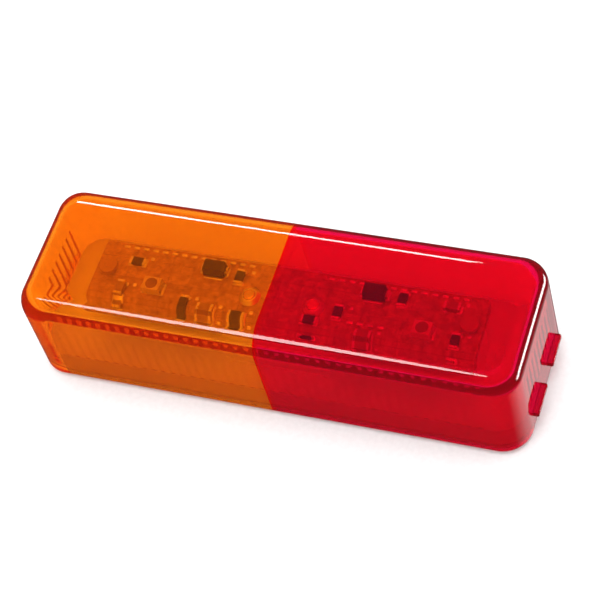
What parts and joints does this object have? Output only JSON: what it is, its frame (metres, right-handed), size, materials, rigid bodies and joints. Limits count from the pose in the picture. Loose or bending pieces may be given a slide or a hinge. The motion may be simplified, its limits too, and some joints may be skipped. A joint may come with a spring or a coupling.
{
  "type": "trailer marker light",
  "caption": "Sealed rectangular trailer marker light: an amber half and a red half of clear plastic, fluted inside, with snap tabs and a recessed plug socket.",
  "frame": {"origin": "centre of the back face, which lies flat on the bracket or bench", "axes": "+X along the light from the amber end to the red end, +Y across it, +Z out of the lens"},
  "size_m": [0.1008, 0.0302, 0.0231],
  "materials": {
    "amber_polycarbonate": "clear amber, polished",
    "red_polycarbonate": "clear red, polished",
    "housing_plastic": "moulded, fine satin",
    "sealant": "cured adhesive",
    "board_laminate": "tan paper laminate, satin",
    "terminal_brass": "turned",
    "solder": "bright solder",
    "led_plastic": "white moulded",
    "led_silicone": "clear filling",
    "tinned_metal": "tinned",
    "diode_moulding": "black moulding compound",
    "resistor_ceramic": "black coated ceramic",
    "capacitor_ceramic": "fired ceramic"
  },
  "bodies": {
    "root": {"amber_lens": "amber_polycarbonate", "red_lens": "red_polycarbonate", "back_housing": "housing_plastic", "sealing_bead": "sealant", "circuit_board": "board_laminate", "power_terminal": "terminal_brass", "ground_terminal": "terminal_brass", "terminal_solder": "solder", "amber_led_package": "led_plastic", "amber_led_filling": "led_silicone", "amber_led_terminals": "tinned_metal", "red_led_package": "led_plastic", "red_led_filling": "led_silicone", "red_led_terminals": "tinned_metal", "amber_diode": "diode_moulding", "amber_diode_terminals": "tinned_metal", "red_diode": "diode_moulding", "red_diode_terminals": "tinned_metal", "resistors": "resistor_ceramic", "resistor_ends": "tinned_metal", "capacitors": "capacitor_ceramic", "capacitor_ends": "tinned_metal"}
  },
  "joints": []
}
